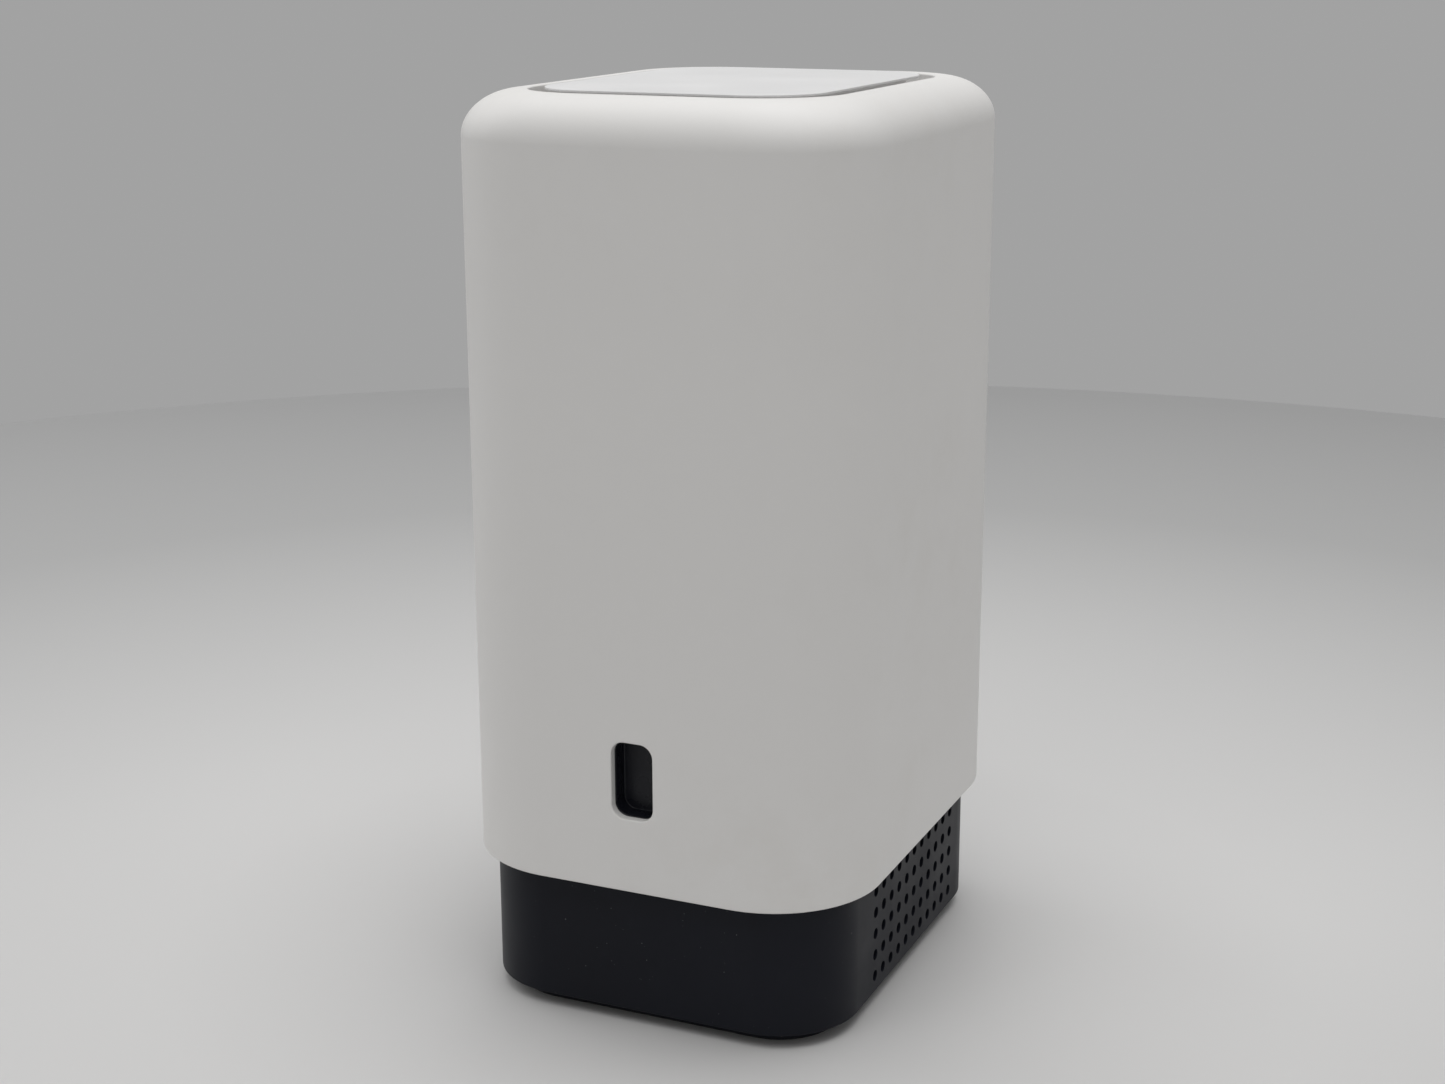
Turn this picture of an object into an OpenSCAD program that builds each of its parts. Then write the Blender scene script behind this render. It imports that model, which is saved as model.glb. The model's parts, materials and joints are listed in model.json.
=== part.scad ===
// Tower wireless router: white sleeve over a black vented base, upright main board,
// ports and buttons on a rear panel. Millimetres. The origin is on the table at the centre
// of the footprint: front is -Y, rear is +Y, right is +X, up is +Z.

/* [Sleeve] */
// Width of the sleeve, left to right
sleeve_width = 111; // [106:0.5:140]
// Depth of the sleeve, front to back
sleeve_depth = 134; // [129:0.5:165]
// Height of the sleeve's top lip above the table
total_height = 236.8; // [234:0.2:300]
// Corner radius of the sleeve's outline
sleeve_corner = 29.2; // [26:0.1:32]
// Height of the sleeve's bottom rim above the table
sleeve_bottom = 39.4; // [36:0.1:44]
// Wall of the sleeve and the base
wall = 2.5; // [2:0.1:3]
// How far the rounded top edge reaches inwards
edge_reach = 13.1; // [10:0.1:14]
// How far the rounded top edge drops
edge_drop = 11.2; // [8:0.1:13]
// Sleeve's outside to the well in its top
well_inset = 14.4; // [13.5:0.1:18]
// Corner radius of the well
well_corner = 21.4; // [16:0.1:24]
// Depth of the well, lip to vent frame
well_depth = 7.8; // [6:0.1:10]

/* [Lid plate] */
// Gap round the lid plate
lid_gap = 4.1; // [2:0.1:6]
// Height of the lid plate's top above the sleeve's lip
lid_rise = 0.4; // [0.2:0.1:1]
// Thickness of the lid plate
lid_thickness = 3; // [2.6:0.1:4]
// Thickness of the lid plate's thin rim
lid_rim = 0.6; // [0.5:0.1:1.2]

/* [Front window] */
// Width of the window
window_width = 11.4; // [9:0.1:14]
// Height of the window
window_height = 20.3; // [16:0.1:24]
// Corner radius of the window
window_corner = 3.5; // [1:0.1:4]
// Height of the window's centre above the table
window_z = 69.2; // [67:0.1:70]
// Depth of the black cup behind the sleeve's wall
window_cup_depth = 4.9; // [3:0.1:5]

/* [Base] */
// Sleeve's side to the base's side
base_inset_side = 4.75; // [4.5:0.05:6]
// Sleeve's front to the base's front
base_inset_front = 5.25; // [4.5:0.05:6]
// Corner radius of the base
base_corner = 22; // [18:0.5:24]
// Height of the base's bottom edge above the table
base_bottom = 3.8; // [3:0.1:5]
// How far the base runs up inside the sleeve
base_overlap = 14.8; // [12:0.1:16]
// Base's outside to the foot skirt
skirt_inset = 4.4; // [3:0.1:6]
// Width of the rubber foot ring
foot_width = 5; // [4:0.5:7]
// Height of the rubber foot ring
foot_height = 1.6; // [1.2:0.1:2]

/* [Vents] */
// Distance between vent holes
vent_pitch = 6; // [5:0.1:6.4]
// Diameter of a vent hole
vent_diameter = 3; // [2:0.1:3.6]
// Vent holes in a row
vent_columns = 11; // [5:1:12]
// Rows of vent holes
vent_rows = 5; // [2:1:6]
// Vent field's centre behind the middle of the base
vent_shift = 3.15; // [0:0.05:4]

/* [Board] */
// Left face of the main board, from the middle
board_x = -8; // [-9:0.1:-7]
// Thickness of the main board
board_thickness = 1.6; // [1.2:0.1:2]
// Height of a chip or shield can above the board
chip_height = 1.6; // [1.2:0.1:2]
// Thickness of a thermal pad
pad_thickness = 0.8; // [0.5:0.1:1]
// Length of the board's standoffs
standoff = 5; // [4:0.1:6]
// Reach of the right-hand heatsink fins
fin_reach_right = 34; // [20:0.5:36]
// Reach of the left-hand heatsink fins
fin_reach_left = 26; // [16:0.5:28]

/* [Rear panel] */
// Width of the opening in the sleeve's rear
panel_width = 40; // [38:0.5:42]
// Overlap of the rear panel behind the sleeve's wall
panel_lap = 3; // [2:0.1:4]
// Thickness of the rear panel
panel_thickness = 2; // [1.6:0.1:2.4]
// Width of a network port
port_width = 15.9; // [15.6:0.1:16]
// Gap between neighbouring LAN ports
port_gap = 1.6; // [1:0.1:2]
// Height of a network port off the board
port_height = 13.5; // [13:0.1:14]
// Depth of a network port
port_depth = 21.3; // [18:0.1:24]
// Clearance round a port or a button in the panel
panel_clearance = 0.3; // [0.2:0.05:0.5]

/* [Buttons] */
// Travel of the power button
power_travel = 2; // [1:0.1:2.4]
// Travel of the WPS button
wps_travel = 0.8; // [0.4:0.1:1]
// Travel of the reset plunger
reset_travel = 0.5; // [0.3:0.1:0.8]
// Clearance round a plunger in its switch
plunger_clearance = 0.3; // [0.2:0.05:0.4]

/* [Hidden] */
$fn = 48;
eps = 0.5;

// Half sizes of the shells
half_w = sleeve_width / 2;
half_d = sleeve_depth / 2;
inner_w = half_w - wall;
inner_d = half_d - wall;
inner_corner = sleeve_corner - wall;
well_w = half_w - well_inset;
well_d = half_d - well_inset;
lid_w = well_w - lid_gap;
lid_d = well_d - lid_gap;
lid_corner = well_corner - lid_gap;
lid_top = total_height + lid_rise;
lid_step = 3.5;
base_w = half_w - base_inset_side;
base_d = half_d - base_inset_front;
base_top = sleeve_bottom + base_overlap;
cavity_w = base_w - wall;
cavity_d = base_d - wall;
cavity_corner = base_corner - wall;
skirt_w = base_w - skirt_inset;
skirt_d = base_d - skirt_inset;
skirt_corner = base_corner - skirt_inset;

// Screws: shank, clearance hole, pilot hole, head
shank_r = 1.2;
pilot_r = 1.25;
through_r = 1.6;
head_r = 2.6;
head_h = 1.7;
head_gap = 0.3;
bite = 4.5;
boss_r = 3.6;
web_t = 2;
fit_gap = 0.15;

// Heights inside
floor_z = base_bottom + 2;
skirt_z = 1;
screw_seat = skirt_z + 2;
groove_inset = 1.2;
foot_gap = 0.1;
well_floor = total_height - well_depth;
vent_frame_t = 2.5;
slot_pitch = 6;
slot_width = 3.5;
frame_bottom = well_floor - vent_frame_t;
deck_t = wall;
belt_h = 8;
belt_low = base_top + 31.8;
board_bottom = floor_z + 8.2;
board_top = frame_bottom - 12.5;
carrier_top = board_top + 2;
belt_top = carrier_top;
belt_middles = [belt_low + belt_h / 2, belt_top - belt_h / 2];

// Bosses and screws, plan positions
sleeve_boss = [half_w - 17.5, half_d - 19];
base_boss = [base_w - 9.75, base_d - 22.75];
sleeve_boss_h = 12;
base_boss_h = 14;
vent_boss = [inner_w - 6, 30];
lid_boss = [lid_w - 9, lid_d - 10.5];
lid_post_h = well_depth - 1;
bar_screw = [24, 38];
ballast_screw = 20;
ballast_t = 5;
bar_reach = 32;
bar_half = 6;
bar_t = 3;
bar_boss_h = 8;

// Deck opening in the top of the base
deck_w = base_w - 10.75;
deck_d = base_d - 9.75;

// The board's right face, and what stands on it
face_x = board_x + board_thickness;
chip_x = face_x + chip_height;
sink_x = chip_x + pad_thickness;
sink_t = 3;
board_front = -(inner_d - 18.5);
board_rear = inner_d - 6.5;
board_low_rear = deck_d - 4;
board_step_z = base_top + 3.8;
carrier_x = board_x - standoff - 2;
carrier_t = 2;
carrier_front = board_front - 4;
carrier_rear = deck_d - 2;
ear_reach = 6;
tab_t = 4;

// Board screws as [y, z]
board_screws = [[board_front + 4, board_bottom + 8], [board_front + 4, 115],
    [board_front + 4, board_top - 6], [36, board_bottom + 8], [36, 66], [38, board_top - 6]];

// Chips as [y, z] centres
soc_at = [-8, 132];
can_upper_at = [-8, 176];
can_lower_at = [-8, 90];
soc_size = 27;
can_size = [36, 30];
memory_at = [[12, 124], [12, 140]];

// Heatsinks: the span along y and z
sink_y = [-40, 22];
sink_z = [base_top + 15.8, 200];
left_y = [-34, 20];
left_z = [base_top + 17.8, 196];
fin_t = 1.2;
fin_pitch = 6.2;
sink_screws = [for (y = [-35, 17], z = [base_top + 21.8, 188]) [y, z]];
spring_r = 2.1;
spring_wire = 0.45;
spring_length = 6;

// Ports: [height off the board, width, depth] of bodies and sockets
socket = [6.9, 11.8, 14];
latch = [1.9, 6.2];
latch_tip = [1.4, 3.2];
phone_body = [11.4, 13.2, 17];
phone_socket = [6.9, 9.8, 12];
phone_latch = [1.8, 3.6];
socket_shift = 1.4;
phone_shift = 0.8;
contact_wire = 0.45;
contact_pitch = 1.02;
dc_body = [10.5, 9, 14];
dc_bore_r = 3.15;
dc_pin_r = 1.05;
dc_depth = 9.5;

// Rear panel and what comes through it
rear_y = inner_d;
panel_w = panel_width / 2 + panel_lap;
panel_inner_y = rear_y - panel_thickness;
port_mouth = rear_y - 0.5;
port_x = face_x + port_height / 2;
window_low = base_top + 5.8;
dc_z = window_low + 8;
power_z = dc_z + 14.5;
reset_z = power_z + 9.5;
phone_z = reset_z + 11;
port_pitch = port_width + port_gap;
lan_z = phone_z + phone_body[1] / 2 + 2.45 + port_width / 2;
wan_z = lan_z + 3 * port_pitch + port_width + 3.1;
wps_z = wan_z + port_width / 2 + 6.05;
window_high = wps_z + 8;
flange_t = 2;
panel_side = panel_w + 0.2;
panel_post = 5.8;
panel_screw_y = rear_y - 6.5;
flange_y = rear_y - 10.5;
panel_corner = 5;
panel_screws = [for (z = [window_low + 12, window_high - 12]) z];

// Buttons
power_cap = [6, 10];
power_body = 8.4;
power_stem = 4;
power_x = face_x + power_body / 2;
power_body_y = [rear_y - 20.5, rear_y - 9.5];
power_hole_depth = 5.5;
tact_hole_depth = 3;
cap_rear = half_d - 0.3;
stop_gap = 0.15;
stop_t = 1.2;
wps_cap_r = 3.5;
tact_size = 6;
tact_depth = 4.5;
tact_x = face_x + tact_size / 2 + 0.4;
tact_plunger_r = 1.6;
wps_body_y = [rear_y - 16, rear_y - 16 + tact_depth];
pinhole_r = 1;
reset_body_y = [rear_y - 10, rear_y - 10 + tact_depth];

// Front window
cup_wall = 1.2;
cup_half = [window_width / 2 + cup_wall, window_height / 2 + cup_wall];
cup_flange = [window_width / 2 + 5.2, window_height / 2 + 3.3];
cup_back = -inner_d + window_cup_depth + cup_wall;
guide_t = 2;
led_t = 1;
led_y = cup_back + guide_t;
led_post_x = cup_half[0] + 1.5;
led_post_r = 1.2;
led_half = [led_post_x + 2, window_height / 2 - 1];

// Antennas: [x, y, turn]; turn 0 faces front, 90 faces right, -90 faces left
cage_gap = 3;
cage_w = inner_w - cage_gap;
cage_d = inner_d - cage_gap;
cage_corner = inner_corner - cage_gap;
cage_t = 2.5;
antenna_w = 13;
antenna_t = 0.8;
antenna_z = [base_top + 46, base_top + 120];
antennas = [[-20, -cage_d, 0], [20, -cage_d, 0], [cage_w, -22, 90], [cage_w, 22, 90],
    [-cage_w, -22, -90], [-cage_w, 22, -90]];
upright_w = 12;

// Coax leads: plugs stand in a row near the board's top edge
plug_y = [for (i = [0:5]) -28 + 10 * i];
plug_z = [board_top - 9, board_top - 4.6];
plug_x = face_x + 1;
coax_r = 0.7;
lead_order = [0, 1, 3, 5, 2, 4];

white = [0.86, 0.85, 0.83];
black = [0.07, 0.08, 0.09];
steel = [0.72, 0.73, 0.75];
gold = [0.83, 0.69, 0.32];
green = [0.05, 0.3, 0.16];

function arc(c, r, a0, a1, n) =
    [for (i = [0:n]) let (a = a0 + (a1 - a0) * i / n) [c[0] + r[0] * cos(a), c[1] + r[1] * sin(a)]];

// Rounded rectangle, by half sizes
module outline(hw, hd, r) {
    square([2 * (hw - r), 2 * hd], center = true);
    square([2 * hw, 2 * (hd - r)], center = true);
    for (sx = [-1, 1], sy = [-1, 1])
        translate([sx * (hw - r), sy * (hd - r)]) circle(r, $fn = 96);
}

module slab(hw, hd, r, z0, z1)
    translate([0, 0, z0]) linear_extrude(z1 - z0) outline(hw, hd, r);

// Box by its low and high corners
module block(low, high) translate(low) cube(high - low);

module at_corners(p)
    for (sx = [-1, 1], sy = [-1, 1]) translate([sx * p[0], sy * p[1], 0]) children();

// Rounded slab whose top edge is a quarter ellipse, rx inwards and ry down
module crowned(hw, hd, r, z0, z1, rx, ry) {
    section = concat([[0, 0]], arc([r - rx, 0], [rx, ry], 0, 90, 12), [[0, ry]]);
    slab(hw, hd, r, z0, z1 - ry);
    translate([0, 0, z1 - ry]) {
        for (q = [0:3])
            translate([(q == 0 || q == 3 ? 1 : -1) * (hw - r), (q < 2 ? 1 : -1) * (hd - r), 0])
                rotate(90 * q) rotate_extrude(angle = 90, $fn = 96) polygon(section);
        for (s = [0, 180]) rotate(s) {
            translate([hw - r, hd - r, 0])
                rotate([90, 0, 0]) linear_extrude(2 * (hd - r)) polygon(section);
            translate([-(hw - r), hd - r, 0])
                rotate([90, 0, 90]) linear_extrude(2 * (hw - r)) polygon(section);
        }
        block([-(hw - r), -(hd - r), 0], [hw - r, hd - r, ry]);
    }
}

// Rounded rectangle standing across Y: half width along X, half height along Z
module upright_slab(hx, hz, r, x, z, y0, y1)
    translate([x, y0, z]) rotate([-90, 0, 0]) linear_extrude(y1 - y0) outline(hx, hz, r);

// Screw pointing up: the head is under z = 0, the shank goes up
module screw(length) {
    difference() {
        translate([0, 0, -head_h]) cylinder(r = head_r, h = head_h);
        for (a = [0, 90]) rotate(a)
            translate([-1.5, -0.3, -head_h - eps]) cube([3, 0.6, 1 + eps]);
    }
    cylinder(r = shank_r, h = length);
}

// ---- Outer shells ----

module sleeve_cavity() {
    difference() {
        crowned(inner_w, inner_d, inner_corner, sleeve_bottom - 1, total_height - wall,
            edge_reach - wall, edge_drop - wall);
        // collar round the well
        difference() {
            slab(well_w + wall, well_d + wall, well_corner + wall, well_floor, total_height);
            slab(well_w, well_d, well_corner, well_floor - 1, total_height + 1);
        }
        // bosses for the vent frame
        at_corners(vent_boss)
            translate([0, 0, well_floor]) cylinder(r = boss_r, h = well_depth);
        // bosses for the base, each with a web out to the corner
        at_corners(sleeve_boss) translate([0, 0, base_top]) cylinder(r = boss_r, h = sleeve_boss_h);
        for (sx = [-1, 1], sy = [-1, 1])
            translate([sx * sleeve_boss[0], sy * sleeve_boss[1], base_top])
                rotate(atan2(sy, sx)) translate([0, -web_t / 2, 0])
                    cube([sleeve_corner, web_t, sleeve_boss_h - 2]);
    }
}

module outer_sleeve() {
    color(white) difference() {
        crowned(half_w, half_d, sleeve_corner, sleeve_bottom, total_height, edge_reach, edge_drop);
        sleeve_cavity();
        slab(well_w, well_d, well_corner, well_floor - eps, total_height + 1);
        at_corners(vent_boss)
            translate([0, 0, well_floor - eps]) cylinder(r = pilot_r, h = bite + eps);
        at_corners(sleeve_boss)
            translate([0, 0, base_top - eps]) cylinder(r = pilot_r, h = sleeve_boss_h - 2 + eps);
        upright_slab(window_width / 2, window_height / 2, window_corner, 0, window_z,
            -half_d - 1, -inner_d + 1);
        upright_slab(panel_width / 2, (window_high - window_low) / 2, panel_corner, 0,
            (window_high + window_low) / 2, inner_d - 1, half_d + 1);
    }
}

module top_plate() {
    color(white) difference() {
        union() {
            slab(lid_w, lid_d, lid_corner, lid_top - lid_rim, lid_top);
            slab(lid_w - lid_step, lid_d - lid_step, lid_corner - lid_step,
                lid_top - lid_thickness, lid_top - lid_rim / 2);
            at_corners(lid_boss)
                translate([0, 0, well_floor]) cylinder(r = boss_r, h = lid_post_h);
        }
        at_corners(lid_boss) translate([0, 0, well_floor - eps])
            cylinder(r = pilot_r, h = lid_post_h - 0.6 + eps);
    }
}

module top_vent_frame() {
    slots = floor((lid_w - 3) / slot_pitch);
    slot_y = lid_boss[1] - 7;
    color(white) difference() {
        slab(inner_w - 4, inner_d - 4, inner_corner - 4, frame_bottom, well_floor);
        for (i = [-slots:slots], s = [-1, 1])
            translate([i * slot_pitch - slot_width / 2, s * (slot_y / 2 + 2) - (slot_y - 2) / 2,
                frame_bottom - 1]) cube([slot_width, slot_y - 2, vent_frame_t + 2]);
        at_corners(lid_boss)
            translate([0, 0, frame_bottom - 1]) cylinder(r = through_r, h = vent_frame_t + 2);
        at_corners(vent_boss)
            translate([0, 0, frame_bottom - 1]) cylinder(r = through_r, h = vent_frame_t + 2);
    }
}

// ---- Front window ----

module status_window() {
    color([0.03, 0.03, 0.035]) difference() {
        union() {
            upright_slab(cup_half[0], cup_half[1], window_corner + cup_wall, 0, window_z,
                -inner_d, cup_back);
            upright_slab(cup_flange[0], cup_flange[1], 4, 0, window_z,
                -inner_d, -inner_d + cup_wall);
            for (s = [-1, 1]) translate([s * led_post_x, -inner_d + cup_wall / 2, window_z])
                rotate([-90, 0, 0])
                    cylinder(r = led_post_r, h = led_y + led_t + 1 + inner_d - cup_wall / 2);
        }
        upright_slab(window_width / 2, window_height / 2, window_corner, 0, window_z,
            -inner_d - 1, cup_back - cup_wall);
    }
}

module window_light_guide() {
    color([0.9, 0.93, 0.95, 0.6])
        upright_slab(window_width / 2 - 1, window_height / 2 - 1, 2, 0, window_z, cup_back, led_y);
}

module status_led_board() {
    color(green) difference() {
        upright_slab(led_half[0], led_half[1], 1, 0, window_z, led_y, led_y + led_t);
        for (s = [-1, 1]) translate([s * led_post_x, led_y - 1, window_z])
            rotate([-90, 0, 0]) cylinder(r = led_post_r + 0.1, h = led_t + 2);
    }
    // LED chips on the board's rear, over holes that the light shines through
    color("white") for (s = [-1, 0, 1])
        translate([-1.5, led_y + led_t, window_z + 6 * s - 1]) cube([3, 0.8, 2]);
}

// Flat cable from the LED board's rear to the main board's right face, bent twice
module led_ribbon() {
    t = 0.3;
    bend = 3.2;
    y0 = led_y + led_t;
    near = [2.5, y0];
    far = [face_x + bend, y0 + 2 * bend];
    end_y = board_front + 4;
    color([0.85, 0.83, 0.78]) translate([0, 0, window_z - 8]) linear_extrude(4) polygon(concat(
        arc(near, [bend, bend], 0, 90, 6), arc(far, [bend, bend], 270, 180, 6), [[face_x, end_y]],
        [[face_x + t, end_y]], arc(far, [bend - t, bend - t], 180, 270, 6),
        arc(near, [bend + t, bend + t], 90, 0, 6)));
}

// ---- Base ----

module base_housing() {
    rows_z = base_bottom + 4.8;
    color(black) {
        difference() {
            slab(base_w, base_d, base_corner, base_bottom, base_top);
            slab(cavity_w, cavity_d, cavity_corner, base_bottom - 1, base_top - deck_t);
            slab(deck_w, deck_d, base_corner, base_top - deck_t - 1, base_top + 1);
            for (i = [0:vent_columns - 1], j = [0:vent_rows - 1])
                translate([-base_w - 1, vent_shift + (i - (vent_columns - 1) / 2) * vent_pitch,
                    rows_z + j * vent_pitch])
                    rotate([0, 90, 0]) cylinder(d = vent_diameter, h = 2 * base_w + 2);
            at_corners(sleeve_boss)
                translate([0, 0, base_top - deck_t - 1]) cylinder(r = through_r, h = deck_t + 2);
        }
        // bosses for the bottom plate, webbed to the side walls
        difference() {
            for (sx = [-1, 1], sy = [-1, 1]) {
                translate([sx * base_boss[0], sy * base_boss[1], floor_z])
                    cylinder(r = boss_r, h = base_boss_h);
                translate([sx > 0 ? base_boss[0] : -cavity_w - wall / 2,
                    sy * base_boss[1] - web_t / 2, floor_z])
                    cube([cavity_w + wall / 2 - base_boss[0], web_t, base_boss_h]);
            }
            at_corners(base_boss)
                translate([0, 0, floor_z - eps]) cylinder(r = pilot_r, h = base_boss_h - 3 + eps);
        }
    }
}

// The skirt's outline, moved inwards
module inset_slab(inset, z0, z1) slab(skirt_w - inset, skirt_d - inset, skirt_corner - inset, z0, z1);

// Counterbored screw hole up through the bottom plate
module plate_hole() translate([0, 0, skirt_z - 1]) {
    cylinder(r = through_r, h = floor_z);
    cylinder(r = head_r + head_gap, h = screw_seat - skirt_z + 1);
}

module bottom_plate() {
    color(black) difference() {
        union() {
            slab(cavity_w - fit_gap, cavity_d - fit_gap, cavity_corner - fit_gap, base_bottom, floor_z);
            slab(skirt_w, skirt_d, skirt_corner, skirt_z, base_bottom);
        }
        // groove for the foot ring
        difference() {
            inset_slab(groove_inset, skirt_z - 1, foot_height);
            inset_slab(groove_inset + foot_width, skirt_z - 2, foot_height + 1);
        }
        at_corners(base_boss) plate_hole();
        at_corners(bar_screw) plate_hole();
        for (s = [-1, 1]) translate([s * ballast_screw, 0, 0]) plate_hole();
    }
}

module foot_ring() {
    color([0.05, 0.05, 0.05]) difference() {
        inset_slab(groove_inset + foot_gap, 0, foot_height);
        inset_slab(groove_inset - foot_gap + foot_width, -1, foot_height + 1);
        // room for the screws of the base
        at_corners(base_boss) translate([0, 0, -1]) cylinder(r = head_r + head_gap, h = foot_height + 2);
    }
}

module ballast_plate() {
    color(steel) difference() {
        block([-bar_reach, 9 - bar_screw[1], floor_z], [bar_reach, bar_screw[1] - 9, floor_z + ballast_t]);
        for (s = [-1, 1]) translate([s * ballast_screw, 0, floor_z - 1])
            cylinder(r = pilot_r, h = ballast_t + 2);
    }
}

// ---- Inner structure ----

module board_carrier() {
    color([0.16, 0.16, 0.17]) difference() {
        union() {
            // upright plate with a step over the foot bars
            block([carrier_x, carrier_front, floor_z + 6],
                [carrier_x + carrier_t, carrier_rear, carrier_top]);
            // ears for the antenna frame's tabs
            for (z = belt_middles)
                block([carrier_x, carrier_front - ear_reach, z - belt_h / 2],
                    [carrier_x + carrier_t, carrier_front + 1, z + belt_h / 2]);
            for (s = [-1, 1]) {
                // foot bar across the base, and its gussets
                block([-bar_reach, s * bar_screw[1] - bar_half, floor_z],
                    [bar_reach, s * bar_screw[1] + bar_half, floor_z + bar_t]);
                block([carrier_x, s * bar_screw[1] - bar_half, floor_z],
                    [carrier_x + carrier_t, s * bar_screw[1] + bar_half, floor_z + bar_boss_h]);
                translate([carrier_x + 1, s * bar_screw[1] + web_t / 2, floor_z + bar_t])
                    rotate([90, 0, 0]) linear_extrude(web_t) polygon([[0, 0], [-14, 0], [0, 22]]);
                // screw bosses on the bar
                for (x = [-bar_screw[0], bar_screw[0]])
                    translate([x, s * bar_screw[1], floor_z]) cylinder(r = boss_r, h = bar_boss_h);
            }
            for (p = board_screws) translate([carrier_x + carrier_t, p[0], p[1]])
                rotate([0, 90, 0]) cylinder(r = boss_r, h = standoff);
        }
        for (p = board_screws) translate([carrier_x - eps, p[0], p[1]])
            rotate([0, 90, 0]) cylinder(r = pilot_r, h = standoff + carrier_t + 2 * eps);
        at_corners(bar_screw)
            translate([0, 0, floor_z - eps]) cylinder(r = pilot_r, h = bar_boss_h - 1 + eps);
        // window for the left-hand heatsink
        block([carrier_x - 1, left_y[0] - 1.5, left_z[0] - 1.5],
            [carrier_x + carrier_t + 1, left_y[1] + 1.5, left_z[1] + 1.5]);
        // holes that join the antenna frame
        for (z = belt_middles)
            translate([carrier_x - 1, carrier_front - ear_reach / 2, z])
                rotate([0, 90, 0]) cylinder(r = through_r, h = carrier_t + 2);
    }
}

module belt(z0) {
    difference() {
        slab(cage_w, cage_d, cage_corner, z0, z0 + belt_h);
        slab(cage_w - cage_t, cage_d - cage_t, cage_corner - cage_t, z0 - 1, z0 + belt_h + 1);
        block([-panel_side, 0, z0 - 1], [panel_side, cage_d + 1, z0 + belt_h + 1]);
    }
}

module antenna_frame() {
    tab_x = carrier_x + carrier_t;
    color([0.2, 0.2, 0.21]) difference() {
        union() {
            belt(belt_low);
            belt(belt_top - belt_h);
            // uprights behind the antennas
            for (a = antennas) translate([a[0], a[1], 0]) rotate(a[2])
                translate([-upright_w / 2, 0, belt_low + belt_h / 2])
                    cube([upright_w, cage_t, belt_top - belt_low - belt_h]);
            // rear uprights that hold the panel
            for (s = [-1, 1])
                block([s > 0 ? panel_side : -panel_side - panel_post, flange_y, window_low + 2],
                    [s > 0 ? panel_side + panel_post : -panel_side, cage_d, belt_top]);
            // tabs to the board carrier
            for (z = belt_middles)
                block([tab_x, -cage_d + cage_t / 2, z - belt_h / 2],
                    [tab_x + tab_t, carrier_front, z + belt_h / 2]);
        }
        for (z = belt_middles)
            translate([tab_x - 1, carrier_front - ear_reach / 2, z])
                rotate([0, 90, 0]) cylinder(r = pilot_r, h = tab_t + 2);
        for (s = [-1, 1], z = panel_screws)
            translate([s * (panel_w + 3), panel_screw_y, z])
                rotate([0, 90, 0]) cylinder(r = pilot_r, h = 12, center = true);
    }
}

module socket_hole(x, z, size)
    block([x - size[0] / 2 - panel_clearance, panel_inner_y - 1, z - size[1] / 2 - panel_clearance],
        [x + size[0] / 2 + panel_clearance, rear_y + 1, z + size[1] / 2 + panel_clearance]);

module rear_panel() {
    mid = (window_low + window_high) / 2;
    color([0.05, 0.055, 0.06]) difference() {
        union() {
            upright_slab(panel_w, (window_high - window_low) / 2 + panel_lap, panel_corner, 0, mid,
                panel_inner_y, rear_y);
            for (s = [-1, 1])
                block([s > 0 ? panel_w - flange_t : -panel_w, flange_y, window_low + 2],
                    [s > 0 ? panel_w : flange_t - panel_w, panel_inner_y + 1, window_high - 2]);
        }
        for (i = [0:3]) socket_hole(port_x, lan_z + i * port_pitch, [port_height, port_width]);
        socket_hole(port_x, wan_z, [port_height, port_width]);
        socket_hole(face_x + phone_body[0] / 2, phone_z, phone_body);
        socket_hole(face_x + dc_body[0] / 2, dc_z, dc_body);
        upright_slab(power_cap[0] / 2 + panel_clearance, power_cap[1] / 2 + panel_clearance, 1.3,
            port_x, power_z, panel_inner_y - 1, rear_y + 1);
        translate([port_x, panel_inner_y - 1, wps_z]) rotate([-90, 0, 0])
            cylinder(r = wps_cap_r + panel_clearance, h = panel_thickness + 2);
        translate([tact_x, panel_inner_y - 1, reset_z]) rotate([-90, 0, 0])
            cylinder(r = pinhole_r, h = panel_thickness + 2);
        for (s = [-1, 1], z = panel_screws)
            translate([s * panel_w, panel_screw_y, z])
                rotate([0, 90, 0]) cylinder(r = through_r, h = 12, center = true);
    }
}

// ---- Board and what is on it ----

module main_board() {
    color(green) difference() {
        union() {
            block([board_x, board_front, board_bottom], [face_x, board_low_rear, board_top]);
            block([board_x, board_low_rear - 1, board_step_z], [face_x, board_rear, board_top]);
        }
        for (p = board_screws) translate([board_x - 1, p[0], p[1]])
            rotate([0, 90, 0]) cylinder(r = through_r, h = board_thickness + 2);
        for (p = sink_screws) translate([board_x - 1, p[0], p[1]])
            rotate([0, 90, 0]) cylinder(r = 1.8, h = board_thickness + 2);
    }
}

// A flat package on the board's right face: centre [y, z], size [along y, along z]
module chip(at, size, height)
    block([face_x, at[0] - size[0] / 2, at[1] - size[1] / 2],
        [face_x + height, at[0] + size[0] / 2, at[1] + size[1] / 2]);

module soc_chip() color([0.12, 0.12, 0.13]) chip(soc_at, [soc_size, soc_size], chip_height);

module memory_chips()
    color([0.1, 0.1, 0.11]) for (p = memory_at) chip(p, [9, 13], chip_height - 0.4);

module flash_chip() color([0.1, 0.1, 0.11]) chip([28, 40], [12, 8], 1.2);

module switch_chip() color([0.1, 0.1, 0.11]) chip([board_front + 13, 46], [15, 15], 1.2);

module shield_can_upper() color(steel) chip(can_upper_at, can_size, chip_height);

module shield_can_lower() color(steel) chip(can_lower_at, can_size, chip_height);

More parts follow.
